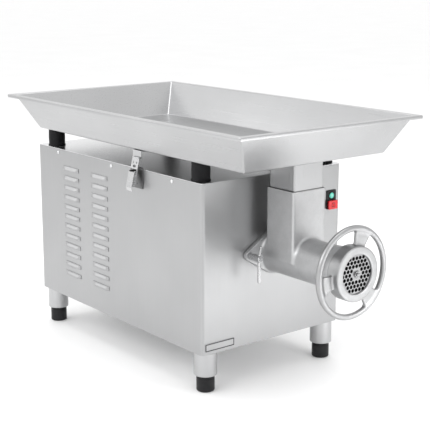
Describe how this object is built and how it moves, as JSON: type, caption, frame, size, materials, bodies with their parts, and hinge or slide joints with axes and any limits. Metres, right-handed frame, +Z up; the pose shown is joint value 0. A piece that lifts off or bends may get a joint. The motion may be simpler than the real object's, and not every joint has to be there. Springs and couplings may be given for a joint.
{
  "type": "electric meat grinder",
  "caption": "Electric meat grinder: steel cabinet on legs, wide feed tray on rubber buffers, cast grinding head with perforated plate and handwheel ring nut, push-button switch.",
  "frame": {"origin": "on the floor under the middle of the whole object's box", "axes": "+Z up, -Y is the front where the grinding head points, +X is on the right of somebody facing the head"},
  "size_m": [0.578, 1.103, 0.66],
  "materials": {
    "stainless_sheet": "satin, fine straight grain",
    "stainless_tube": "satin, grain round the tube",
    "bright_steel": "bright zinc or polished steel",
    "machined_steel": "machined",
    "cast_alloy": "bead-blasted casting, silk matt",
    "grey_paint": "matt machine paint",
    "black_rubber": "matt",
    "black_plastic": "fine moulded texture",
    "green_plastic": "gloss",
    "red_plastic": "gloss"
  },
  "bodies": {
    "machine": {"housing_wrap": "stainless_sheet", "top_panel": "stainless_sheet", "rear_panel": "stainless_sheet", "base_plate": "stainless_sheet", "nameplate": "bright_steel", "cable_gland": "black_plastic", "switch_body": "black_plastic", "leg_front_left": "stainless_tube", "leg_front_right": "stainless_tube", "leg_back_left": "stainless_tube", "leg_back_right": "stainless_tube", "buffer_front_left": "black_rubber", "buffer_front_right": "black_rubber", "buffer_back_left": "black_rubber", "buffer_back_right": "black_rubber", "latch_base_left": "bright_steel", "latch_base_right": "bright_steel", "grinder_head": "cast_alloy", "hole_plate": "machined_steel", "clamp_stud_left": "bright_steel", "clamp_stud_right": "bright_steel", "gearbox_case": "cast_alloy", "gearbox_lid": "cast_alloy", "motor_housing": "grey_paint", "fan_cowl": "grey_paint", "drive_cradle": "grey_paint", "contactor_box": "black_plastic", "output_bearing_front": "machined_steel", "output_bearing_back": "machined_steel", "shaft_seal": "black_rubber", "layshaft_bearing_front": "machined_steel", "layshaft_bearing_back": "machined_steel", "motor_bearing_front": "machined_steel", "motor_bearing_back": "machined_steel"},
    "output_train": {"output_shaft": "machined_steel", "output_gear": "machined_steel", "auger": "machined_steel", "auger_pin": "bright_steel", "knife": "machined_steel"},
    "lay_train": {"layshaft": "machined_steel", "layshaft_gear": "machined_steel"},
    "motor_train": {"motor_rotor": "machined_steel", "motor_fan": "black_plastic"},
    "ring_nut": {"ring_nut_handwheel": "cast_alloy"},
    "clamp_left": {"clamp_handle_left": "bright_steel"},
    "clamp_right": {"clamp_handle_right": "bright_steel"},
    "lever_left": {"latch_lever_left": "bright_steel"},
    "hook_left": {"latch_hook_left": "bright_steel"},
    "lever_right": {"latch_lever_right": "bright_steel"},
    "hook_right": {"latch_hook_right": "bright_steel"},
    "tray": {"feed_tray": "stainless_sheet", "feed_spout": "stainless_sheet", "latch_keeper_left": "bright_steel", "latch_keeper_right": "bright_steel"},
    "start": {"start_button": "green_plastic"},
    "stop": {"stop_button": "red_plastic"},
    "foot_front_left_body": {"foot_front_left": "black_plastic"},
    "foot_front_right_body": {"foot_front_right": "black_plastic"},
    "foot_back_left_body": {"foot_back_left": "black_plastic"},
    "foot_back_right_body": {"foot_back_right": "black_plastic"}
  },
  "joints": [
    {"name": "auger_turn", "type": "hinge", "parent": "machine", "child": "output_train", "pos_m": [0, -0.2945, 0.328], "axis": [0, 1, 0], "continuous": true},
    {"name": "layshaft_turn", "type": "hinge", "parent": "machine", "child": "lay_train", "pos_m": [0, -0.1745, 0.232], "axis": [0, 1, 0], "continuous": true},
    {"name": "rotor_turn", "type": "hinge", "parent": "machine", "child": "motor_train", "pos_m": [0, -0.0245, 0.328], "axis": [0, 1, 0], "continuous": true},
    {"name": "ring_nut_turn", "type": "hinge", "parent": "machine", "child": "ring_nut", "pos_m": [0, -0.5285, 0.328], "axis": [0, -1, 0], "range_deg": [0, 1170]},
    {"name": "clamp_left_turn", "type": "hinge", "parent": "machine", "child": "clamp_left", "pos_m": [-0.087, -0.2945, 0.328], "axis": [0, 1, 0], "range_deg": [0, 180]},
    {"name": "clamp_right_turn", "type": "hinge", "parent": "machine", "child": "clamp_right", "pos_m": [0.087, -0.2945, 0.328], "axis": [0, -1, 0], "range_deg": [0, 180]},
    {"name": "latch_left_lever_turn", "type": "hinge", "parent": "machine", "child": "lever_left", "pos_m": [-0.2385, -0.0015, 0.512], "axis": [0, 1, 0], "range_deg": [0, 95]},
    {"name": "latch_left_hook_turn", "type": "hinge", "parent": "lever_left", "child": "hook_left", "pos_m": [-0.24044, -0.0015, 0.50424], "axis": [0, 1, 0], "range_deg": [-95, 0]},
    {"name": "latch_right_lever_turn", "type": "hinge", "parent": "machine", "child": "lever_right", "pos_m": [0.2385, -0.0015, 0.512], "axis": [0, -1, 0], "range_deg": [0, 95]},
    {"name": "latch_right_hook_turn", "type": "hinge", "parent": "lever_right", "child": "hook_right", "pos_m": [0.24044, -0.0015, 0.50424], "axis": [0, -1, 0], "range_deg": [-95, 0]},
    {"name": "tray_lift", "type": "slide", "parent": "machine", "child": "tray", "axis": [0, 0, 1], "range_m": [0, 0.15]},
    {"name": "start_press", "type": "slide", "parent": "machine", "child": "start", "axis": [0, 1, 0], "range_m": [0, 0.003], "stiffness_N_per_m": 800},
    {"name": "stop_press", "type": "slide", "parent": "machine", "child": "stop", "axis": [0, 1, 0], "range_m": [0, 0.003], "stiffness_N_per_m": 800},
    {"name": "foot_front_left_adjust", "type": "slide", "parent": "machine", "child": "foot_front_left_body", "axis": [0, 0, -1], "range_m": [0, 0.015]},
    {"name": "foot_front_right_adjust", "type": "slide", "parent": "machine", "child": "foot_front_right_body", "axis": [0, 0, -1], "range_m": [0, 0.015]},
    {"name": "foot_back_left_adjust", "type": "slide", "parent": "machine", "child": "foot_back_left_body", "axis": [0, 0, -1], "range_m": [0, 0.015]},
    {"name": "foot_back_right_adjust", "type": "slide", "parent": "machine", "child": "foot_back_right_body", "axis": [0, 0, -1], "range_m": [0, 0.015]}
  ],
  "couplings": [
    {"joint": "layshaft_turn", "follows": "auger_turn", "ratio": -3},
    {"joint": "rotor_turn", "follows": "auger_turn", "ratio": 9},
    {"joint": "latch_left_hook_turn", "follows": "latch_left_lever_turn", "ratio": -1},
    {"joint": "latch_right_hook_turn", "follows": "latch_right_lever_turn", "ratio": -1}
  ]
}
